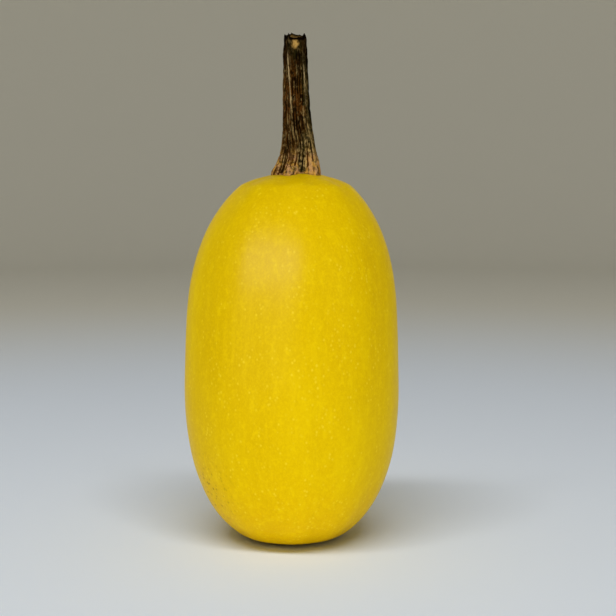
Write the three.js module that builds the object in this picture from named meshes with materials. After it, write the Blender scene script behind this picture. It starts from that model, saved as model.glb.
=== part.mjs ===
// A spaghetti squash, as picked: one smooth oval fruit with its cut, woody stem, standing on its blossom end.
//
// Millimetres, with +Z up. z = 0 is the surface that the fruit stands on, the origin is under the middle of the
// fruit, and -Y is the front. Angles run round +Z from the front towards +X.
//
// The fruit is one solid, turned from a profile: a flat foot with a rounded edge, a lower and an upper half that
// meet at the belly, and a low domed crown. Its points are then moved for the faint ribs, for the small lobes of
// flesh around the stem, and for the axis, which drifts a little to the right on its way up.
//
// The stem is a second solid, a five-ridged shaft. Its ridges spread at the bottom into toes that lie on the
// crown between the lobes, and its underside follows the crown with a thin gap.

import * as THREE from "three";
import { mergeVertices } from "three/addons/utils/BufferGeometryUtils.js";

// The fruit's driving dimensions
const FRUIT_HEIGHT = 230;
const BELLY_LEVEL = 118.5;
const BELLY_RADIUS = 68.5;
const FOOT_RADIUS = 22;
const FOOT_EDGE_RADIUS = 33.7; // where the foot's rounded edge runs into the lower half
const FOOT_EDGE_RISE = 2;
const CROWN_RADIUS = 34; // where the upper half runs into the crown
const CROWN_RISE = 6.5;
const CROWN_FLATNESS = 3; // exponent of the dome: 2 is a parabola, and more is flatter in the middle
const LOWER_FULLNESS = 2.62; // superellipse exponents: 2 is an ellipse, and more is squarer
const UPPER_FULLNESS = 2.17;
const WAIST_DEPTH = 2; // a slight narrowing above the belly
const WAIST_LEVEL = 135;
const WAIST_SPREAD = 35;
const AXIS_DRIFT = 2.9; // how far the crown's middle lies towards +X of the belly's
const RIB_COUNT = 10; // one of them at the front
const RIB_SHARE = 0.012; // depth of the valleys between ribs, as a share of the radius

// The stem's driving dimensions
const STEM_LENGTH = 87; // above the crown
const STEM_TOP_RADIUS = 7.5;
const STEM_FOOT_RADIUS = 10.2; // of the shaft, without its toes
const STEM_LEAN = -0.5; // how far the stem's top lies towards +X of its foot
const RIDGE_COUNT = 5;
const RIDGE_TURN = THREE.MathUtils.degToRad(58); // angle of one of the ridges
const FURROW_DEPTH = 1.5;
const TOE_REACH = 6;
const TOE_HEIGHT = 8; // over which the flare of the toes dies away
const FURROW_FLARE = 0.25; // the share of that flare that the furrows have
const LOBE_RISE = 1.8; // of the flesh between the toes
const LOBE_RADIUS = 10.5;
const RIM_DROP = 4; // how far the broken rim at the top dips to the front
const PITH_RADIUS_SHARE = 0.55;
const PITH_SINK = 3.5; // of the stem's middle below the highest point of its rim
const GAP = 0.3; // between the stem and the crown

const SECTORS = 60; // a multiple of RIDGE_COUNT and RIB_COUNT
const HALF_ROWS = 11;
const FOOT_EDGE_ROWS = 3;
const CROWN_ROW_RADII = [31.5, 28.5, 25, 21, 18.5, 16, 13.5, 11.5, 9.5, 7.5, 5, 2.5, 0];
const UNDERSIDE_ROWS = 5;
const SHAFT_ROWS = 12;

const FULL_TURN = 2 * Math.PI;

// 1 on the middle of each of count evenly spaced waves and 0 halfway between them, with one wave's middle at turn.
function wave(angle, count, turn) {
  return (1 + Math.cos(count * (angle - turn))) / 2;
}

// Height of the crown: a low dome, with a lobe of flesh rising into each furrow of the stem.
function crownHeight(radius, angle) {
  const dome = FRUIT_HEIGHT - CROWN_RISE * (radius / CROWN_RADIUS) ** CROWN_FLATNESS;
  const ring = Math.sin((Math.PI / 2) * Math.min(radius / LOBE_RADIUS, 2)) ** 2;
  return dome + LOBE_RISE * ring * (1 - wave(angle, RIDGE_COUNT, RIDGE_TURN));
}

// Where the fruit's axis is at a level: it is straight up to the belly and bends from there.
function axisX(level) {
  return AXIS_DRIFT * Math.max((level - BELLY_LEVEL) / (FRUIT_HEIGHT - BELLY_LEVEL), 0) ** 2;
}

// How much narrower the fruit is at a level than its superelliptic halves.
function waist(level) {
  return WAIST_DEPTH * Math.exp(-(((level - WAIST_LEVEL) / WAIST_SPREAD) ** 2));
}

// Points of a superelliptic quarter from the belly to where it ends, at endRadius and endLevel.
function halfProfile(endRadius, endLevel, fullness) {
  const endShare = (endRadius / BELLY_RADIUS) ** fullness;
  const reach = (endLevel - BELLY_LEVEL) / (1 - endShare) ** (1 / fullness);
  const endTurn = Math.acos(Math.sqrt(endShare));
  return Array.from({ length: HALF_ROWS + 1 }, (_, row) => {
    const turn = (endTurn * row) / HALF_ROWS;
    const radius = BELLY_RADIUS * Math.cos(turn) ** (2 / fullness);
    const level = BELLY_LEVEL + reach * Math.sin(turn) ** (2 / fullness);
    return [radius - waist(level), level];
  });
}

// The foot's rounded edge, which leaves the flat of the foot at a tangent.
function footEdge() {
  return Array.from({ length: FOOT_EDGE_ROWS }, (_, row) => {
    const share = row / FOOT_EDGE_ROWS;
    return [THREE.MathUtils.lerp(FOOT_RADIUS, FOOT_EDGE_RADIUS, share), FOOT_EDGE_RISE * share ** 2];
  });
}

// The fruit's whole profile, from the axis under the foot to the axis at the crown.
function fruitProfile() {
  const lower = halfProfile(FOOT_EDGE_RADIUS, FOOT_EDGE_RISE, LOWER_FULLNESS);
  const upper = halfProfile(CROWN_RADIUS, FRUIT_HEIGHT - CROWN_RISE, UPPER_FULLNESS);
  const crown = CROWN_ROW_RADII.map((radius) => [radius, FRUIT_HEIGHT]);
  return [[0, 0], ...footEdge(), ...lower.reverse(), ...upper.slice(1), ...crown];
}

// Moves a point of the turned fruit to where it lies on the grown one.
function onFruit(radius, level, angle) {
  const fromBelly = Math.min(Math.abs(level - BELLY_LEVEL) / BELLY_LEVEL, 1);
  const valley = 1 - wave(angle, RIB_COUNT, 0);
  const ribbed = radius * (1 - RIB_SHARE * valley * fromBelly ** 2);
  const height = level === FRUIT_HEIGHT ? crownHeight(ribbed, angle) : level;
  return new THREE.Vector3(
    ribbed * Math.sin(angle) + axisX(height),
    -ribbed * Math.cos(angle),
    height,
  );
}

// Radius of the stem's side at a height above the crown.
function stemRadius(height, angle) {
  const ridge = wave(angle, RIDGE_COUNT, RIDGE_TURN);
  const shaft = THREE.MathUtils.lerp(STEM_FOOT_RADIUS, STEM_TOP_RADIUS, height / STEM_LENGTH);
  const flare = TOE_REACH * Math.exp(-Math.max(height, 0) / TOE_HEIGHT);
  return shaft + flare * THREE.MathUtils.lerp(FURROW_FLARE, 1, ridge) - FURROW_DEPTH * (1 - ridge);
}

// The stem's profile as shares of its radius and of its height: underside, side, broken rim and sunken pith.
function stemProfile() {
  const underside = Array.from({ length: UNDERSIDE_ROWS }, (_, row) => [row / UNDERSIDE_ROWS, 0]);
  const side = Array.from({ length: SHAFT_ROWS + 1 }, (_, row) => [1, (row / SHAFT_ROWS) ** 1.6]);
  return [...underside, ...side, [PITH_RADIUS_SHARE, 1], [0, 1]];
}

// Moves a point of the turned stem to its place on the crown or along the shaft.
function onStem(radiusShare, heightShare, angle) {
  const footRadius = stemRadius(0, angle);
  const foot = crownHeight(footRadius, angle) + GAP;
  const rim = FRUIT_HEIGHT + STEM_LENGTH - RIM_DROP * wave(angle, 1, 0);
  const side = THREE.MathUtils.lerp(foot, rim, heightShare);
  const radius = radiusShare * stemRadius(side - foot, angle);
  const onUnderside = heightShare === 0;
  const onPith = heightShare === 1 && radiusShare < 1;
  let height = side;
  if (onUnderside) {
    height = crownHeight(radius, angle) + GAP;
  }
  if (onPith) {
    height = FRUIT_HEIGHT + STEM_LENGTH - PITH_SINK;
  }
  return new THREE.Vector3(
    radius * Math.sin(angle) + AXIS_DRIFT + STEM_LEAN * heightShare,
    -radius * Math.cos(angle),
    height,
  );
}

// Turns a profile about +Z and lets place() move each of its points.
function turned(profile, place) {
  const points = profile.map(([radius, height]) => new THREE.Vector2(radius, height));
  const geometry = new THREE.LatheGeometry(points, SECTORS);
  const position = geometry.getAttribute("position");
  for (let i = 0; i < position.count; i += 1) {
    const sector = Math.floor(i / profile.length) % SECTORS;
    const [radius, height] = profile[i % profile.length];
    const placed = place(radius, height, (FULL_TURN * sector) / SECTORS);
    position.setXYZ(i, placed.x, placed.y, placed.z);
  }
  geometry.deleteAttribute("normal");
  geometry.deleteAttribute("uv");
  const closed = mergeVertices(geometry, 1e-4);
  closed.computeVertexNormals();
  return closed;
}

function piece(name, geometry, material) {
  const mesh = new THREE.Mesh(geometry, material);
  mesh.name = name;
  return mesh;
}

const rind = new THREE.MeshStandardMaterial({ color: 0xe4bc0c, roughness: 0.5, metalness: 0 });
const driedStem = new THREE.MeshStandardMaterial({ color: 0x4a3820, roughness: 0.85, metalness: 0 });

const squash = new THREE.Group();
squash.name = "spaghetti_squash";
squash.add(piece("fruit", turned(fruitProfile(), onFruit), rind));
squash.add(piece("stem", turned(stemProfile(), onStem), driedStem));

export default squash;
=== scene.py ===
"""A spaghetti squash standing on its blossom end, with its long, dry stem up.

Metres, +Z up and -Y the front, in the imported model's own frame. Angles run round +Z from the front
towards +X. Two modelled pieces, the fruit and the stem, stand for the two plain CAD nodes, which fix
their size and place.
"""

import math

import bpy
import numpy as np
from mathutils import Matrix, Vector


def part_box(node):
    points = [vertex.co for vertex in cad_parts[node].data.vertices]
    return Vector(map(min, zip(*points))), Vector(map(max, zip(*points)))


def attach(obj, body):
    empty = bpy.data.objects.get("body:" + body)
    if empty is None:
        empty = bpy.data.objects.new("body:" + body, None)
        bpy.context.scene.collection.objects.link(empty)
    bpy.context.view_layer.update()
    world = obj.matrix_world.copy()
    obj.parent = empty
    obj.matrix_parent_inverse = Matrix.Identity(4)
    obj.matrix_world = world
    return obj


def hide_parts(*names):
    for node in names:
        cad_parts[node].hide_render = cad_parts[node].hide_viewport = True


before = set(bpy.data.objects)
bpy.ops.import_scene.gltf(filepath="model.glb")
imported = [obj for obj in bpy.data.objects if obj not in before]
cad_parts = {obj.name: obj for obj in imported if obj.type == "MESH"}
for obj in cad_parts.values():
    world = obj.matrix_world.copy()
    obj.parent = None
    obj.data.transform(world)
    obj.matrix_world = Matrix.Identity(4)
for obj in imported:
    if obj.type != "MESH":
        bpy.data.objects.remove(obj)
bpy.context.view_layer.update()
FRUIT_LOW, FRUIT_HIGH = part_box("fruit")
STEM_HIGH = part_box("stem")[1]

# The fruit, in design millimetres; the angles here and in the stem's tables are in degrees
FRUIT_HEIGHT = 229.5
BELLY_LEVEL = 118.5
BELLY_RADIUS = 68.5
FOOT_RADIUS = 15  # of the flat that the fruit stands on
FOOT_EDGE_RADIUS = 33.8  # where the foot's rounded edge runs into the lower half
FOOT_EDGE_RISE = 2.9  # and how high it is there
CROWN_RADIUS = 34  # where the upper half runs into the crown
CROWN_RISE = 6  # how far the crown's middle rises above that
CROWN_FLATNESS = 3  # exponent of the crown's dome: 2 is a parabola, and more is flatter in the middle
LOWER_FULLNESS = 2.62  # superellipse exponents: 2 is an ellipse, and more is squarer
UPPER_FULLNESS = 2.17
WAIST_DEPTH = 2  # a slight narrowing above the belly
WAIST_LEVEL = 135
WAIST_SPREAD = 35
AXIS_DRIFT = 2.7  # how far the crown's middle lies towards +X of the belly's
INSET = 0.05  # of the modelled pieces from the plain solids' box
CORNER_SOFTNESS = 1.5  # how far the foot's edge and the shoulder are smoothed along the profile
RIB_COUNT = 10
RIB_DEPTH = 0.45  # of the valleys between the ribs, at the belly
RIB_END_DEPTH = 0.5  # and near the crown and the foot
SWELLS = (  # the skin's slow waves: height, length round the fruit, length up it, and seed
    (0.45, 48, 48, 3),
    (0.12, 15, 30, 5),
    (0.04, 6, 9, 7),
)
SCAR_RADIUS = 4.5  # of the corky scar under the foot
SCAR_SINK = 1.2
SCUFF_TURN = -58  # the middle of the patch of fine dark specks, low on the left
SCUFF_LEVEL = 36
SCUFF_SPREAD = 17  # how far that patch reaches round the fruit
SCUFF_HEIGHT = 19  # and up and down it
COLLAR_RADIUS = 17  # of the greener ring of rind round the stem
FRUIT_ROWS = 330
FRUIT_SECTORS = 290

# The stem, in design millimetres
STEM_LENGTH = 87.5  # above the crown
STEM_TOP_RADIUS = 7.5
STEM_FOOT_RADIUS = 10.2  # of the shaft, without its toes
STEM_LEAN = -0.3  # how far the stem's top lies towards +X of its foot
STEM_BOW = 0.9  # and how far it bows that way in between
STEM_WAIST = 0.6  # how much slimmer the shaft is at STEM_WAIST_HEIGHT than a straight taper
STEM_WAIST_HEIGHT = 41
STEM_WAIST_SPREAD = 17
STEM_SINK = 0.5  # of the toes into the crown
TOE_TUCK = 1.1  # how far the toes' lower edge is rounded in
RIDGE_COUNT = 5
RIDGE_TURN = math.radians(58)  # angle of one of the ridges
RIDGE_TWIST = math.radians(-24)  # of the ridges, from the stem's foot to its top
FURROW_DEPTH = 1.5
FILLED_FURROW = (94, 34, 0.75)  # the furrow that is nearly filled: its angle, width and how full it is
TOES = (  # angle, reach, height and width of each
    (-86, 6.2, 8.2, 26),
    (-38, 3.4, 6, 24),
    (-14, 5.0, 8, 20),
    (60, 6.0, 18, 30),
    (92, 3.4, 26, 30),
    (130, 5.5, 9, 24),
    (202, 6.0, 9, 26),
)
LOBES = (  # of the crown's flesh round the stem's foot: angle, rise and width of each
    (20, 0.8, 26),
    (94, 1.0, 22),
    (166, 1.8, 24),
    (238, 1.5, 24),
)
LOBE_RADIUS = 10.5  # where they are highest
CORDS = (  # sets of strands: number round the stem, depth, seed and strength
    (28, 0.8, 51, 1.0),
    (66, 0.36, 61, 0.85),
)
LUMPS = (  # the stem's uneven surface: height, number round the stem, length and seed
    (0.35, 5, 9, 31),
    (0.2, 14, 3.2, 32),
)
SEAM_LOW = 34  # heights between which the pale seams on the ridges run
SEAM_HIGH = 78
DARKNESS = (  # height up the stem, and how dark its bark is there
    (0, 0),
    (14, 0),
    (20, 0.1),
    (32, 0.38),
    (46, 0.3),
    (54, 0.18),
    (62, 0.48),
    (72, 0.68),
    (87, 0.7),
)
SHADE_STRIP_TURN = 80  # the angle of the painted shade strip up the stem's right side, which stands in for the shade on that side
RIM_BACK = 1.3  # how low the broken rim lies at the back, without its splinters
RIM_FRONT = 3.9  # and at the front
SPLINTERS = (  # angle, width and rise of each on the broken end
    (202, 9, 1.3),
    (184, 16, 0.7),
    (104, 8, 0.5),
    (72, 14, 2.1),
    (-36, 6, 2.4),
    (-68, 9, 0.9),
    (-108, 12, 0.8),
    (-135, 7, 1.0),
)
RIM_WEAR = 0.7  # how far the bark draws in at the broken edge
CHIP_TURN = 0  # the chip in the bark at the front, just under the end, that bares the pith
CHIP_WIDTH = 24
CHIP_LOW = 305.2
CHIP_HIGH = 311.5
CHIP_DEPTH = 0.9
HOLLOW_DEPTH = 7  # of the broken end's hollow, below the rim
WALL_SHARE = 0.74  # radius of that hollow, as a share of the stem's
STEM_ROWS = 240
STEM_SECTORS = 370
STEM_UNDERSIDE_ROWS = 6
STEM_HOLLOW_ROWS = 16

MM = STEM_HIGH.z / (FRUIT_HEIGHT + STEM_LENGTH)  # a design millimetre in metres

# The stage, the lamps and the camera, in metres, degrees and watts
INNER_FLOOR_RADIUS = 1.0  # of the floor's innermost ring
FLOOR_RADIUS = 2.2  # where the floor starts to curve up
CURVE_RADIUS = 0.8
WALL_TOP = 2.6
FLOOR_DROP = 0.0002  # of the floor below the foot, so that the two faces don't coincide
STAGE_SECTORS = 96
LAMP_DISTANCE = 2.0  # from the squash's middle
SQUASH_LAMPS = (  # name, azimuth, elevation, size and power; azimuth 0 is the camera's side, and 90 is +X
    ("key", -14, 18, 1.3, 20.4),
    ("left_fill", -50, 1, 0.7, 4.5),
    ("right_fill", 48, 16, 1.3, 5.2),
    ("side_fill", 54, 2, 0.5, 2.8),
    ("back_left", -155, 15, 1.3, 11),
    ("back_right", 160, 15, 1.3, 11),
    ("top_fill", 120, 82, 1.0, 7.8),
)
CAMERA_PLACE = (0.0104, -0.80, 0.235)
CAMERA_TILT = math.radians(6.36)  # downwards
CAMERA_LENS = 74.7  # millimetres
CAMERA_SENSOR = 36  # millimetres


# Noise and curves


def lattice(x, y, z, seed):
    """A repeatable number from -1 to 1 for each whole-number point."""
    mixed = x * 73856093 ^ y * 19349663 ^ z * 83492791 ^ seed * 2654435761
    mixed = (mixed ^ (mixed >> 13)) * 1274126177 & 0x7FFFFFFF
    mixed = (mixed ^ (mixed >> 15)) & 0xFFFF
    return mixed / 32767.5 - 1


def smooth_noise(points, seed):
    """Smooth noise from -1 to 1 at an array of points (..., 3), with one wave to a unit of length."""
    cell = np.floor(points).astype(np.int64)
    share = points - cell
    share = share * share * share * (share * (share * 6 - 15) + 10)
    total = 0
    for corner in range(8):
        step = np.array([corner & 1, corner >> 1 & 1, corner >> 2 & 1])
        weight = np.where(step == 1, share, 1 - share).prod(axis=-1)
        at = cell + step
        total = total + weight * lattice(at[..., 0], at[..., 1], at[..., 2], seed)
    return total


def wave(angle, count, turn):
    """1 on the middle of each of count evenly spaced waves, and 0 halfway between them."""
    return (1 + np.cos(count * (angle - turn))) / 2


def smoothstep(low, high, value):
    share = np.clip((value - low) / (high - low), 0, 1)
    return share * share * (3 - 2 * share)


def bump(value, middle, width):
    """1 where the value is at the middle, falling off like a bell on both sides."""
    return np.exp(-(((value - middle) / width) ** 2))


def turned_from(angle, middle):
    """An angle's difference from a middle that is given in degrees, in degrees from -180 to 180."""
    return (np.degrees(angle) - middle + 180) % 360 - 180


def around_ring(angle, height, count, reach):
    """Points for noise on the stem's side: about count waves round it, and one in each reach of height."""
    turn = count / (2 * math.pi)
    flat = 0 * angle + 0 * height
    return np.stack(
        [turn * np.sin(angle) + flat, turn * np.cos(angle) + flat, height / reach + flat], axis=-1
    )


# Meshes


def all_round(sectors):
    """The angles of evenly spaced sectors, as a row."""
    return np.linspace(0, 2 * math.pi, sectors, endpoint=False)[None, :]


def on_axis(radius, angle, level, drift):
    """Points at a radius and an angle round an upright axis that lies drift towards +X."""
    return np.stack([radius * np.sin(angle) + drift, -radius * np.cos(angle), level], axis=-1)


def smooth_object(name, vertices, faces):
    mesh = bpy.data.meshes.new(name)
    mesh.from_pydata(vertices, [], faces)
    mesh.polygons.foreach_set("use_smooth", np.ones(len(mesh.polygons), bool))
    made = bpy.data.objects.new(name, mesh)
    bpy.context.scene.collection.objects.link(made)
    return made


def grid_piece(name, points, attributes):
    """A closed mesh from rings of points (rows, sectors, 3) in design millimetres, with a pole at each end.

    attributes maps a name to one number for each point of the grid.
    """
    rows, sectors = points.shape[:2]
    rings = points[1:-1].reshape(-1, 3)
    vertices = np.concatenate([points[:1, 0], rings, points[-1:, 0]]) * MM
    top_pole = len(vertices) - 1
    here = np.arange(sectors)
    following = np.roll(here, -1)
    below = np.arange(rows - 3)[:, None] * sectors + 1
    above = below + sectors
    quads = np.stack([below + here, below + following, above + following, above + here], axis=-1)
    last = top_pole - sectors
    faces = quads.reshape(-1, 4).tolist()
    faces += [(0, 1 + j, 1 + i) for i, j in zip(here.tolist(), following.tolist())]
    faces += [(top_pole, last + i, last + j) for i, j in zip(here.tolist(), following.tolist())]
    made = smooth_object(name, vertices.tolist(), faces)
    for key, values in attributes.items():
        layer = made.data.attributes.new(key, "FLOAT", "POINT")
        flat = np.concatenate([values[:1, 0], values[1:-1].ravel(), values[-1:, 0]])
        layer.data.foreach_set("value", flat.astype(np.float32))
    made.data.validate()
    made.data.update()
    return made


# The fruit


def half_profile(end_radius, end_level, fullness):
    """Radii and levels of a superelliptic quarter from the belly to where it ends."""
    end_share = (end_radius / BELLY_RADIUS) ** fullness
    reach = (end_level - BELLY_LEVEL) / (1 - end_share) ** (1 / fullness)
    turn = np.linspace(0, math.acos(math.sqrt(end_share)), 400)
    radius = BELLY_RADIUS * np.cos(turn) ** (2 / fullness)
    level = BELLY_LEVEL + reach * np.sin(turn) ** (2 / fullness)
    return np.stack([radius - WAIST_DEPTH * bump(level, WAIST_LEVEL, WAIST_SPREAD), level], axis=1)


def evenly(points, count):
    """A polyline's points moved to be evenly spaced along it."""
    step = np.linalg.norm(np.diff(points, axis=0), axis=1)
    along = np.concatenate([[0], np.cumsum(step)])
    wanted = np.linspace(0, along[-1], count)
    return np.stack([np.interp(wanted, along, points[:, axis]) for axis in range(2)], axis=1)


def softened(profile):
    """An evenly spaced profile from axis to axis with its corners smoothed, standing on level 0."""
    spacing = np.linalg.norm(profile[1] - profile[0])
    reach = int(3 * CORNER_SOFTNESS / spacing)
    kernel = np.exp(-((np.arange(-reach, reach + 1) * spacing / CORNER_SOFTNESS) ** 2) / 2)
    kernel /= kernel.sum()
    mirror = np.array([-1, 1])  # past the axis the profile runs on, mirrored
    before = profile[reach:0:-1] * mirror
    after = profile[-2 : -reach - 2 : -1] * mirror
    padded = np.concatenate([before, profile, after])
    soft = np.stack([np.convolve(padded[:, axis], kernel, "valid") for axis in range(2)], axis=1)
    soft[[0, -1], 0] = 0
    soft[:, 1] -= soft[:, 1].min()
    return soft


def dome(radius):
    """Level of the crown without its lobes."""
    return FRUIT_HEIGHT - CROWN_RISE * (radius / CROWN_RADIUS) ** CROWN_FLATNESS


def fruit_profile():
    """The fruit's profile from the axis under the foot to the axis at the crown."""
    foot = np.array([[0, 0], [FOOT_RADIUS, 0]])
    edge_share = np.linspace(0, 1, 40)[1:-1]
    edge_radius = FOOT_RADIUS + (FOOT_EDGE_RADIUS - FOOT_RADIUS) * edge_share
    edge = np.stack([edge_radius, FOOT_EDGE_RISE * edge_share**2], axis=1)
    lower = half_profile(FOOT_EDGE_RADIUS, FOOT_EDGE_RISE, LOWER_FULLNESS)[::-1]
    upper = half_profile(CROWN_RADIUS, FRUIT_HEIGHT - CROWN_RISE, UPPER_FULLNESS)[1:]
    crown_radius = np.linspace(CROWN_RADIUS, 0, 80)[1:]
    crown = np.stack([crown_radius, dome(crown_radius)], axis=1)
    sharp = evenly(np.concatenate([foot, edge, lower, upper, crown]), 2400)
    return evenly(softened(sharp), FRUIT_ROWS)


def lobe_rise(radius, angle):
    """How far the lobes round the stem's foot rise above the dome."""
    ring = np.sin(math.pi / 2 * np.minimum(radius / LOBE_RADIUS, 2)) ** 2
    return ring * sum(rise * bump(turned_from(angle, middle), 0, width) for middle, rise, width in LOBES)


def crown_height(radius, angle):
    """Level of the crown under the stem."""
    return dome(radius) + lobe_rise(radius, angle)


def fruit_relief(around, radius, level, angle):
    """How far the skin stands out from its profile, and how deep it lies between ribs, from 0 to 1.

    Both fade away on the flat of the foot and round the stem.
    """
    from_belly = np.clip(np.abs(level - BELLY_LEVEL) / BELLY_LEVEL, 0, 1)
    wander = 0.06 * smooth_noise(around / [40, 40, 90], 2)
    valley = (1 - wave(angle + wander, RIB_COUNT, 0)) ** 1.5
    depth = RIB_DEPTH + (RIB_END_DEPTH - RIB_DEPTH) * from_belly**2
    swell = 0
    for height, length_round, length_up, seed in SWELLS:
        swell = swell + height * smooth_noise(around / [length_round, length_round, length_up], seed)
    off_foot = smoothstep(0.5, 9, level + 0.2 * np.maximum(radius - 30, 0)) * smoothstep(10, 40, radius)
    off_stem = smoothstep(150, 200, level) * smoothstep(14, 30, radius)
    shown = np.maximum(off_foot, off_stem)
    return (swell - valley * depth) * shown, valley * shown


def filling_cad_box(points):
    """The fruit's points stretched sideways, by a little, to reach the plain solid's box but for INSET."""
    for axis in (0, 1):
        low = FRUIT_LOW[axis] / MM + INSET
        high = FRUIT_HIGH[axis] / MM - INSET
        found = points[..., axis]
        share = (found - found.min()) / (found.max() - found.min())
        points[..., axis] = low + share * (high - low)
    return points


def fruit_piece():
    """The fruit: its profile turned round, with faint ribs and swells, the lobes at the stem and the scar."""
    profile = fruit_profile()
    angle = all_round(FRUIT_SECTORS)
    radius = profile[:, :1] + 0 * angle
    level = profile[:, 1:] + 0 * angle
    along = np.gradient(profile, axis=0)
    along /= np.linalg.norm(along, axis=1)[:, None]
    relief, valley = fruit_relief(on_axis(radius, angle, level, 0), radius, level, angle)
    radius = radius + relief * along[:, 1:]
    level = level - relief * along[:, :1]

    upper = level > BELLY_LEVEL
    level = level + np.where(upper, lobe_rise(radius, angle), 0)
    scar = np.where(upper, 0, 1 - smoothstep(SCAR_RADIUS * 0.6, SCAR_RADIUS * 1.5, radius))
    level = level + SCAR_SINK * scar
    climb = np.clip((level - BELLY_LEVEL) / (FRUIT_HEIGHT - BELLY_LEVEL), 0, None)
    points = on_axis(radius, angle, level, AXIS_DRIFT * climb**2)

    scuff = bump(turned_from(angle, SCUFF_TURN), 0, SCUFF_SPREAD) * bump(level, SCUFF_LEVEL, SCUFF_HEIGHT)
    collar = np.where(upper, 1 - smoothstep(COLLAR_RADIUS * 0.75, COLLAR_RADIUS * 1.4, radius), 0)
    attributes = {"valley": valley, "scar": scar, "scuff": scuff, "collar": collar}
    return grid_piece("fruit_rind", filling_cad_box(points), attributes)


# The stem


def twisted_with(height, angle):
    """Angles that turn with the ridges on their way up the stem."""
    return angle - RIDGE_TWIST * np.clip(height / STEM_LENGTH, 0, 1)


def stem_shaft(height, angle):
    """Radius of the stem's side at a height above the crown without its bark, and its ridges, from 0 to 1."""
    share = np.clip(height / STEM_LENGTH, 0, 1)
    twisted = twisted_with(height, angle)
    ridge = wave(twisted, RIDGE_COUNT, RIDGE_TURN)
    radius = STEM_FOOT_RADIUS + (STEM_TOP_RADIUS - STEM_FOOT_RADIUS) * share
    radius = radius - STEM_WAIST * bump(height, STEM_WAIST_HEIGHT, STEM_WAIST_SPREAD)
    filled_turn, filled_width, filled_share = FILLED_FURROW
    filled = filled_share * bump(turned_from(twisted, filled_turn), 0, filled_width)
    furrow = FURROW_DEPTH * (1 - ridge) * (1 - filled)
    toes = 0
    for middle, reach, rise, width in TOES:
        flare = np.exp(-((np.maximum(height, 0) / rise) ** 1.6))
        toes = toes + reach * flare * bump(turned_from(twisted, middle), 0, width)
    return radius - furrow + toes, ridge


def cords(angle, height, count, seed):
    """Rounded strands side by side up the stem: each point's height on its strand, and the strand's number.

    The height is 1 on a crest and 0 in the crack beside it.
    """
    wander = 0.10 * smooth_noise(around_ring(angle, height, 5, 17), seed)
    wander = wander + 0.03 * smooth_noise(around_ring(angle, height, 18, 6), seed + 1)
    across = (angle + wander) * count / (2 * math.pi)
    strand = np.floor(across)
    crest = 1 - np.abs(2 * (across - strand) - 1) ** 2.6
    return crest, strand % count


def per_strand(strand, height, reach, seed):
    """A number from -1 to 1 for each strand, which changes slowly up the stem."""
    flat = 0 * strand
    return smooth_noise(np.stack([strand * 7.31 + flat, height / reach + flat, flat + 0.5], axis=-1), seed)


def strands(height, twisted):
    """The strands' relief in design millimetres, the cracks between them, and how pale each strand is."""
    low = 1 - smoothstep(16, 40, height)
    relief = 0
    crack = 0
    pale = 0
    for count, depth, seed, strength in CORDS:
        crest, strand = cords(twisted, height, count, seed)
        worn = smooth_noise(around_ring(twisted, height, 9, 8), seed + 2)
        shown = smoothstep(-0.4, 0.3, worn + 0.7 * low - 0.1)
        offset = per_strand(strand, height, 9, seed + 3)
        relief = relief - depth * shown * (1 - crest) + 0.4 * depth * crest * offset
        crack = np.maximum(crack, strength * shown * (1 - crest))
        pale = pale + strength * (0.35 + 1.4 * offset) * crest
        pale = pale + 1.2 * low * smoothstep(0.5, 0.95, crest) * (0.4 + 0.8 * offset)
    return relief, crack, pale


def pale_seams(height, twisted, ridge):
    """The pale, broken seams along the crests of the ridges, from 0 to 1."""
    crest = smoothstep(0.978, 0.997, ridge)
    worn = smoothstep(-0.5, 0.1, smooth_noise(around_ring(twisted, height, 4, 12), 81))
    above = smoothstep(SEAM_LOW, SEAM_LOW + 12, height)
    below = 1 - smoothstep(SEAM_HIGH - 8, SEAM_HIGH, height)
    return crest * worn * above * below


def lumps(height, angle):
    """The stem's uneven surface, which is rougher on its toes."""
    toe_lump = 0.5 * np.exp(-height / 6) * smooth_noise(around_ring(angle, height, 11, 4), 33)
    return toe_lump + sum(
        rise * smooth_noise(around_ring(angle, height, count, reach), seed)
        for rise, count, reach, seed in LUMPS
    )


def bark(height, angle, ridge):
    """The bark's relief in design millimetres, its cracks, from 0 to 1, how pale it is, and its seams."""
    twisted = twisted_with(height, angle)
    relief, crack, pale = strands(height, twisted)
    seam = pale_seams(height, twisted, ridge)
    relief = relief + 0.3 * seam
    crack = crack * (1 - 0.8 * seam)

    # Corky bridges break up the cracks, most of all near the toes
    toes = np.exp(-height / 9)
    bridges = smooth_noise(around_ring(angle, height, 12, 4), 91)
    bridged = smoothstep(0.1 - 0.25 * toes, 0.5 - 0.2 * toes, bridges) * (0.35 + 0.5 * toes)
    crack = crack * (1 - bridged)

    # Small pits, and pale flecks on the strands
    pits = smooth_noise(around_ring(angle, height, 20, 2.6), 92)
    pit = smoothstep(0.4, 0.8, pits) * (0.25 + 0.75 * np.exp(-height / 16))
    crack = np.maximum(crack, 0.8 * pit)
    flecks = smooth_noise(around_ring(angle, height, 34, 1.9), 93)
    pale = pale * (1 + 0.9 * flecks) + 0.5 * smoothstep(0.35, 0.7, flecks)

    relief = relief * (1 - 0.6 * bridged) + lumps(height, angle) - 0.4 * pit
    return relief, crack, pale, seam


def broken_rim(angle):
    """Height of the broken end's edge round the stem, which is 0 at its highest."""
    rim = -RIM_BACK - (RIM_FRONT - RIM_BACK) * wave(angle, 1, 0)
    for middle, width, rise in SPLINTERS:
        rim = rim + rise * np.exp(-np.abs(turned_from(angle, middle) / width) ** 1.5)
    ring = np.stack([np.sin(angle), np.cos(angle), 0 * angle], axis=-1)
    rim = rim + 0.2 * smooth_noise(ring * 4, 41) + 0.25 * smooth_noise(ring * 11, 42)
    return rim - rim.max()


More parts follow.
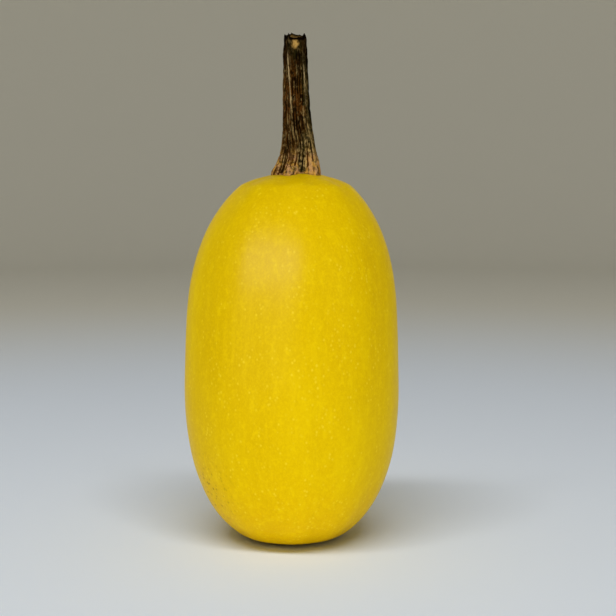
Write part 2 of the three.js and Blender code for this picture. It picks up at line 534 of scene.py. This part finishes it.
def chip(level, height, angle):
    """Where the bark is chipped off at the front, from 0 to 1: ragged, narrow below and wide above."""
    width = CHIP_WIDTH * np.clip((level - CHIP_LOW) / (CHIP_HIGH - CHIP_LOW), 0, 1) ** 0.45
    ragged = 0.3 * smooth_noise(around_ring(angle, height, 20, 2.2), 55)
    across = np.abs(turned_from(angle, CHIP_TURN)) / np.maximum(width, 0.1)
    chipped = 1 - smoothstep(0.45, 1.2, across + ragged)
    above = smoothstep(CHIP_LOW, CHIP_LOW + 2.4, level)
    below = 1 - smoothstep(CHIP_HIGH - 0.6, CHIP_HIGH + 0.2, level)
    return chipped * above * below


def painted_shade_strip(height, angle):
    """Painted shade: a dark strip that wanders up the stem's right side, from 0 to 1, standing in for the
    shade there.
    """
    stray = smooth_noise(around_ring(angle, height, 6, 7), 75)
    strip = bump(turned_from(angle, SHADE_STRIP_TURN) + 9 * stray, 0, 12)
    return 0.7 * strip * smoothstep(26, 42, height) * (0.85 + 0.4 * stray)


def green_stain(height, level, angle):
    """Green patches, more of them on the right, and one under the chip."""
    patches = smooth_noise(around_ring(angle, height, 6, 16), 71)
    under_chip = bump(level, CHIP_LOW - 2.5, 3) * bump(turned_from(angle, CHIP_TURN), 0, 20)
    return np.maximum(smoothstep(0.0, 0.5, patches + 0.35 * np.sin(angle)), 1.6 * under_chip)


def rust_stain(height, angle):
    """Red-brown patches halfway up the stem's left side, from 0 to 1."""
    patches = smooth_noise(around_ring(angle, height, 4, 14), 73)
    return bump(height, 46, 26) * smoothstep(-0.2, 0.5, patches - np.sin(angle))


def stem_underside(radius, angle):
    """Radii and levels of the rings under the stem, which follow the crown."""
    share = np.linspace(0, 1, STEM_UNDERSIDE_ROWS, endpoint=False)[:, None]
    inner = share * radius
    return np.stack([inner, crown_height(inner, angle) - STEM_SINK], axis=-1)


def stem_hollow(radius, rim):
    """Radii and levels of the rings inside the broken end, to its middle, and how bare the pith is there."""
    share = np.linspace(0, 1, STEM_HOLLOW_ROWS + 1)[1:, None]
    wall = radius * (1 - (1 - WALL_SHARE) * np.minimum(share * 4, 1))
    inner = np.where(share < 0.5, wall, wall * (1 - share) * 2)
    sunk = np.sin(math.pi / 2 * np.minimum(share * 2, 1)) * np.minimum(share * 4, 1)
    rings = np.stack([inner, rim - HOLLOW_DEPTH * sunk], axis=-1)
    rings[-1, :, 1] = rings[-1, :, 1].mean()
    rings[-1, :, 0] = 0
    return rings, 0.7 * smoothstep(0.07, 0.2, share)


def on_whole_stem(side, underside, hollow):
    """An attribute for all of the stem's points, from those of its side, its underside and its hollow end."""
    return np.concatenate([
        underside + np.zeros((STEM_UNDERSIDE_ROWS, STEM_SECTORS)),
        side + np.zeros((STEM_ROWS, STEM_SECTORS)),
        hollow + np.zeros((STEM_HOLLOW_ROWS, STEM_SECTORS)),
    ])


def stem_axis(level):
    """Where the stem's axis is at a level: it starts at the crown's middle, leans and bows."""
    climb = np.clip((level - FRUIT_HEIGHT) / STEM_LENGTH, 0, 1)
    bow = 6.75 * climb * (1 - climb) ** 2  # 1 at its highest, a third of the way up
    return AXIS_DRIFT + STEM_LEAN * climb + STEM_BOW * bow


def stem_piece():
    """The stem: ridged shaft of stranded bark, corky toes on the crown, and a broken, hollow end."""
    angle = all_round(STEM_SECTORS)
    foot = crown_height(stem_shaft(0 * angle, angle)[0], angle) - STEM_SINK
    rim = FRUIT_HEIGHT + STEM_LENGTH - INSET + broken_rim(angle)
    level = foot + (rim - foot) * np.linspace(0, 1, STEM_ROWS)[:, None]
    height = level - foot
    from_rim = rim - level
    shaft, ridge = stem_shaft(height, angle)
    relief, crack, pale, seam = bark(height, angle, ridge)
    chipped = chip(level, height, angle)
    at_foot = 1 - smoothstep(0, 2.5, height)
    radius = shaft + relief * (1 - 0.6 * at_foot) - TOE_TUCK * np.exp(-height / 0.8)
    radius = radius - CHIP_DEPTH * chipped - RIM_WEAR * np.exp(-from_rim / 1.6)

    side = np.stack([radius, level], axis=-1)
    hollow, bare = stem_hollow(radius[-1:], rim)
    profile = np.concatenate([stem_underside(radius[:1], angle), side, hollow])
    points = on_axis(profile[..., 0], angle, profile[..., 1], stem_axis(profile[..., 1]))

    toe = np.exp(-((height / 13) ** 1.6)) * smoothstep(0.0, 0.6, ridge + 0.5 * at_foot)
    dark = np.interp(height, *zip(*DARKNESS)) + 0.5 * (1 - smoothstep(0.3, 3, from_rim))
    # The cracks, with the painted shade strip up the right side laid over them: the crack attribute carries
    # both
    cracks_and_shade = np.maximum(crack, painted_shade_strip(height, angle))
    attributes = {
        "crack": on_whole_stem(np.clip(cracks_and_shade, 0, 1), 1, 0.3),
        "pale": on_whole_stem(np.clip(0.38 * pale + 0.3 * ridge**2, 0, 1), 0, 0.5),
        "toe": on_whole_stem(toe, 1, 0),
        "dark": on_whole_stem(np.clip(dark, 0, 1), 0, 1),
        "pith": on_whole_stem(chipped, 0, bare),
        "green": on_whole_stem(green_stain(height, level, angle), 0, 0),
        "rust": on_whole_stem(rust_stain(height, angle), 0, 0),
        "seam": on_whole_stem(seam, 0, 0),
    }
    return grid_piece("dried_stem", points, attributes)


# Materials


class Surface:
    """A new material, with short ways to add its nodes and to paint one colour over another."""

    def __init__(self, name, base):
        self.material = bpy.data.materials.new(name)
        self.material.use_nodes = True
        self.tree = self.material.node_tree
        self.shader = self.tree.nodes["Principled BSDF"]
        self.coordinates = self.tree.nodes.new("ShaderNodeTexCoord").outputs["Object"]
        self.colour = base

    def add(self, kind, **settings):
        node = self.tree.nodes.new(kind)
        for key, value in settings.items():
            setattr(node, key, value)
        return node

    def put(self, value, socket):
        """Sets a socket to a number, a colour or a scale, or joins an output to it."""
        if isinstance(value, (int, float, tuple)):
            socket.default_value = value
        else:
            self.tree.links.new(value, socket)

    def stretched(self, scale):
        """The object's coordinates times a scale for each axis, in waves to a metre."""
        mapping = self.add("ShaderNodeMapping")
        self.put(scale, mapping.inputs["Scale"])
        self.put(self.coordinates, mapping.inputs["Vector"])
        return mapping.outputs["Vector"]

    def texture(self, kind, scale):
        node = self.add(kind)
        self.put(self.stretched(scale), node.inputs["Vector"])
        self.put(1, node.inputs["Scale"])
        return node

    def noise(self, scale, detail, roughness=0.5):
        node = self.texture("ShaderNodeTexNoise", scale)
        self.put(detail, node.inputs["Detail"])
        self.put(roughness, node.inputs["Roughness"])
        return node.outputs["Fac"]

    def spots(self, scale):
        """Distance to the nearest of a scatter of points, in cells."""
        return self.texture("ShaderNodeTexVoronoi", scale).outputs["Distance"]

    def flakes(self, scale):
        """A number from 0 to 1 for each of a scatter of cells."""
        parts = self.add("ShaderNodeSeparateColor")
        self.put(self.texture("ShaderNodeTexVoronoi", scale).outputs["Color"], parts.inputs["Color"])
        return parts.outputs["Red"]

    def attribute(self, name):
        return self.add("ShaderNodeAttribute", attribute_name=name).outputs["Fac"]

    def height(self):
        """Metres above the floor."""
        node = self.add("ShaderNodeSeparateXYZ")
        self.put(self.coordinates, node.inputs["Vector"])
        return node.outputs["Z"]

    def ramp(self, value, low, high, start=0.0, end=1.0):
        """value from low to high turned smoothly into start to end."""
        node = self.add("ShaderNodeMapRange", interpolation_type="SMOOTHSTEP")
        names = ("Value", "From Min", "From Max", "To Min", "To Max")
        for key, number in zip(names, (value, low, high, start, end)):
            self.put(number, node.inputs[key])
        return node.outputs["Result"]

    def calculated(self, operation, first, second):
        node = self.add("ShaderNodeMath", operation=operation)
        self.put(first, node.inputs[0])
        self.put(second, node.inputs[1])
        return node.outputs["Value"]

    def times(self, first, second):
        return self.calculated("MULTIPLY", first, second)

    def plus(self, first, second):
        return self.calculated("ADD", first, second)

    def mix(self, share, first, second):
        """A colour mixed from two colours by a share, which is 0 for the first."""
        node = self.add("ShaderNodeMix", data_type="RGBA")
        colours = [socket for socket in node.inputs if socket.type == "RGBA"]
        for value, socket in ((share, node.inputs[0]), (first, colours[0]), (second, colours[1])):
            self.put(value, socket)
        return next(socket for socket in node.outputs if socket.type == "RGBA")

    def paint(self, share, colour):
        """Lays a colour over the surface's own, as thick as the share from 0 to 1."""
        self.colour = self.mix(share, self.colour, colour)

    def roughen(self, value, distance, strength):
        """Bumps too fine for the mesh, up to a distance in metres."""
        node = self.add("ShaderNodeBump")
        self.put(strength, node.inputs["Strength"])
        self.put(distance, node.inputs["Distance"])
        self.put(value, node.inputs["Height"])
        self.put(node.outputs["Normal"], self.shader.inputs["Normal"])

    def finished(self, roughness, specular):
        """The material, with its colour, a roughness and a specular level on the shader."""
        self.put(self.colour, self.shader.inputs["Base Color"])
        self.put(roughness, self.shader.inputs["Roughness"])
        self.shader.inputs["Specular IOR Level"].default_value = specular
        return self.material


def srgb(red, green, blue):
    """A linear colour from sRGB numbers of 0 to 255."""
    channels = [channel / 255 for channel in (red, green, blue)]
    linear = [c / 12.92 if c <= 0.04045 else ((c + 0.055) / 1.055) ** 2.4 for c in channels]
    return (*linear, 1.0)


def rind_material():
    """Yellow rind: a slow cast, fine mottling, streaks and pale dots, and dark specks low on the left."""
    deep = srgb(222, 181, 0)
    bright = srgb(234, 196, 0)
    orange = srgb(228, 173, 0)
    pale = srgb(243, 210, 4)
    dot = srgb(247, 218, 48)
    greenish = srgb(206, 190, 14)
    speck = srgb(170, 124, 0)
    cork = srgb(150, 112, 52)
    rind = Surface("yellow_rind", deep)
    cast = rind.noise((13, 13, 8), 3)
    mottle = rind.noise((230, 230, 170), 3, 0.65)
    streaks = rind.noise((240, 240, 30), 4, 0.6)
    grain = rind.noise((900, 900, 700), 3, 0.6)

    rind.paint(rind.ramp(cast, 0.3, 0.7), bright)
    rind.paint(rind.times(rind.attribute("valley"), 0.35), deep)
    rind.paint(rind.times(rind.ramp(rind.height(), 0.0, 0.07, 1, 0), 0.5), orange)
    rind.paint(rind.ramp(mottle, 0.5, 0.75, 0, 0.5), deep)
    rind.paint(rind.ramp(mottle, 0.5, 0.25, 0, 0.5), pale)
    rind.paint(rind.ramp(streaks, 0.45, 0.8, 0, 0.4), pale)
    rind.paint(rind.ramp(grain, 0.35, 0.75, 0, 0.4), pale)

    dots = rind.ramp(rind.spots((340, 340, 280)), 0.1, 0.34, 1, 0)
    dotted = rind.ramp(rind.noise((120, 120, 90), 2), 0.4, 0.62, 0.08, 0.55)
    rind.paint(rind.times(dots, dotted), dot)
    rind.paint(rind.times(rind.attribute("collar"), 0.2), greenish)
    specks = rind.ramp(rind.spots((400, 400, 340)), 0.16, 0.44, 1, 0)
    specks = rind.times(specks, rind.ramp(mottle, 0.44, 0.54))
    rind.paint(rind.times(specks, rind.times(rind.attribute("scuff"), 0.9)), speck)
    rind.paint(rind.times(rind.attribute("scar"), rind.ramp(grain, 0.3, 0.6, 0.6, 1)), cork)

    rind.roughen(rind.plus(rind.times(grain, 0.5), rind.times(streaks, 0.5)), 0.0003, 0.35)
    return rind.finished(roughness=rind.ramp(streaks, 0.2, 0.8, 0.27, 0.37), specular=0.03)


def stem_material():
    """Dry stem: brown bark with pale strands, stains, near-black cracks and a painted shade strip, tan corky
    toes and bare pith.
    """
    black = srgb(8, 3, 0)
    dark = srgb(30, 15, 1)
    brown = srgb(82, 54, 16)
    russet = srgb(104, 60, 18)
    strand = srgb(170, 142, 88)
    seam = srgb(190, 164, 118)
    olive = srgb(60, 58, 22)
    lichen = srgb(112, 112, 74)
    cork = srgb(200, 151, 66)
    pink = srgb(194, 147, 98)
    umber = srgb(66, 32, 3)
    pith = srgb(184, 146, 78)
    stem = Surface("dried_stem", dark)
    mottle = stem.noise((480, 480, 220), 5, 0.7)
    patches = stem.plus(stem.times(mottle, 0.7), stem.times(stem.flakes((900, 900, 320)), 0.3))
    spots = stem.noise((900, 900, 700), 3, 0.7)
    fibres = stem.noise((1700, 1700, 150), 4, 0.7)
    crumbs = stem.noise((800, 800, 560), 2, 0.6)
    corky = stem.noise((520, 520, 330), 4, 0.7)
    blotches = stem.noise((300, 300, 240), 3, 0.6)
    green = stem.attribute("green")

    stem.paint(stem.ramp(patches, 0.32, 0.66), brown)
    stem.paint(stem.times(stem.attribute("rust"), stem.ramp(patches, 0.4, 0.6, 0, 0.7)), russet)
    stem.paint(stem.times(green, 0.5), olive)
    stem.paint(stem.times(green, stem.ramp(spots, 0.55, 0.7, 0, 0.7)), lichen)
    pale = stem.times(stem.attribute("pale"), stem.ramp(fibres, 0.3, 0.62))
    stem.paint(stem.ramp(pale, 0.2, 0.8), strand)
    stem.paint(stem.ramp(crumbs, 0.48, 0.66, 0, 0.75), dark)
    stem.paint(stem.ramp(crumbs, 0.42, 0.28, 0, 0.5), strand)

    on_toe = stem.ramp(stem.attribute("toe"), 0.1, 0.6)
    toe_colour = stem.mix(stem.ramp(blotches, 0.42, 0.6), cork, pink)
    stem.paint(stem.times(on_toe, stem.ramp(corky, 0.4, 0.57, 0.1, 1)), toe_colour)
    stem.paint(stem.attribute("dark"), black)
    # Near-black cracks, umber on the toes, and with them the painted shade strip up the right side
    stem.paint(stem.ramp(stem.attribute("crack"), 0.15, 0.65), stem.mix(on_toe, black, umber))
    stem.paint(stem.times(stem.attribute("seam"), stem.ramp(crumbs, 0.68, 0.48, 0.3, 0.9)), seam)
    pith_colour = stem.mix(stem.ramp(corky, 0.3, 0.55), brown, pith)
    stem.paint(stem.times(stem.attribute("pith"), 0.95), pith_colour)

    stem.roughen(stem.plus(fibres, stem.times(corky, 0.5)), 0.0006, 0.7)
    return stem.finished(roughness=0.85, specular=0.03)


def stage_material():
    """A pale floor, slightly blue round the squash and warmer far away."""
    floor = Surface("pale_floor", srgb(232, 240, 250))
    distance = floor.add("ShaderNodeVectorMath", operation="LENGTH")
    floor.put(floor.coordinates, distance.inputs[0])
    floor.paint(floor.ramp(distance.outputs["Value"], 0.5, 1.5), srgb(236, 233, 220))
    return floor.finished(roughness=0.8, specular=0.1)


# The stage, the light and the camera


def stage_profile():
    """Radii and heights of the stage's rings: the floor, the curve and the wall."""
    curve = [
        (FLOOR_RADIUS + CURVE_RADIUS * math.sin(turn), CURVE_RADIUS - CURVE_RADIUS * math.cos(turn))
        for turn in np.linspace(0.1, math.pi / 2, 14)
    ]
    return [(INNER_FLOOR_RADIUS, 0), (FLOOR_RADIUS, 0), *curve, (FLOOR_RADIUS + CURVE_RADIUS, WALL_TOP)]


def stage():
    """A pale floor that curves up into a wall all round, far outside the camera's place."""
    profile = np.array(stage_profile())
    rings = on_axis(profile[:, :1], all_round(STAGE_SECTORS), profile[:, 1:] + np.zeros(STAGE_SECTORS), 0)
    vertices = [(0, 0, 0), *rings.reshape(-1, 3).tolist()]
    vertices = [(x, y, z - FLOOR_DROP) for x, y, z in vertices]
    following = [(i + 1) % STAGE_SECTORS for i in range(STAGE_SECTORS)]
    faces = [(0, 1 + i, 1 + j) for i, j in enumerate(following)]
    for ring in range(len(profile) - 1):
        inner = 1 + ring * STAGE_SECTORS
        outer = inner + STAGE_SECTORS
        faces += [(inner + i, outer + i, outer + j, inner + j) for i, j in enumerate(following)]
    made = smooth_object("stage_floor", vertices, faces)
    made.data.materials.append(stage_material())
    return made


def collection_of(name, things):
    made = bpy.data.collections.new(name)
    for thing in things:
        made.objects.link(thing)
    return made


def softbox(name, azimuth, elevation, size, power, width=0):
    """An area lamp aimed at the squash's middle: a disk, or a rectangle where it has a width."""
    lamp = bpy.data.lights.new(name, "AREA")
    lamp.shape = "RECTANGLE" if width else "DISK"
    lamp.size = width or size
    lamp.size_y = size
    lamp.energy = power
    made = bpy.data.objects.new(name, lamp)
    turn = math.radians(azimuth)
    climb = math.radians(elevation)
    flat = LAMP_DISTANCE * math.cos(climb)
    middle = FRUIT_HIGH.z / 2
    made.location = (flat * math.sin(turn), -flat * math.cos(turn), middle + LAMP_DISTANCE * math.sin(climb))
    made.rotation_euler = (math.pi / 2 - climb, 0, turn)
    made.visible_camera = False
    bpy.context.scene.collection.objects.link(made)
    return made


def light_only(lamp, lit):
    """Makes a lamp light one collection, and keeps the lamp out of reflections."""
    lamp.light_linking.receiver_collection = lit
    lamp.visible_glossy = False


def grey_surround(strength):
    world = bpy.data.worlds.new("studio")
    world.use_nodes = True
    background = world.node_tree.nodes["Background"]
    background.inputs["Color"].default_value = (1, 0.99, 0.97, 1)
    background.inputs["Strength"].default_value = strength
    bpy.context.scene.world = world


def light(fruit, stem, floor):
    """Soft studio light: a grey surround, a highlight, softboxes for the squash and a strip for the floor.

    Each lamp lights only its own things, so that the squash's low fills leave the shadow under it dark.
    """
    grey_surround(strength=0.12)
    squash = collection_of("squash", [fruit, stem])
    sheen = softbox("sheen", azimuth=-24, elevation=28, size=1.0, power=145, width=2.2)
    sheen.visible_diffuse = False
    sheen.light_linking.receiver_collection = collection_of("fruit", [fruit])
    for name, azimuth, elevation, size, power in SQUASH_LAMPS:
        light_only(softbox(name, azimuth, elevation, size, power), squash)
    strip = softbox("floor_light", azimuth=-8, elevation=64, size=0.3, power=29, width=2)
    light_only(strip, collection_of("floor", [floor]))


def camera():
    lens = bpy.data.cameras.new("camera")
    lens.lens = CAMERA_LENS
    lens.sensor_width = CAMERA_SENSOR
    lens.clip_start = 0.01
    lens.clip_end = 20
    made = bpy.data.objects.new("camera", lens)
    made.location = CAMERA_PLACE
    made.rotation_euler = (math.pi / 2 - CAMERA_TILT, 0, 0)
    bpy.context.scene.collection.objects.link(made)
    bpy.context.scene.camera = made


# The scene


def place(piece, node, material):
    """Gives a modelled piece its material and body, and hides the CAD node that it stands for."""
    piece.data.materials.append(material)
    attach(piece, "root")
    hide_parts(node)
    return piece


camera()
fruit = place(fruit_piece(), "fruit", rind_material())
stem = place(stem_piece(), "stem", stem_material())
light(fruit, stem, stage())
bpy.context.scene.view_settings.view_transform = "Standard"
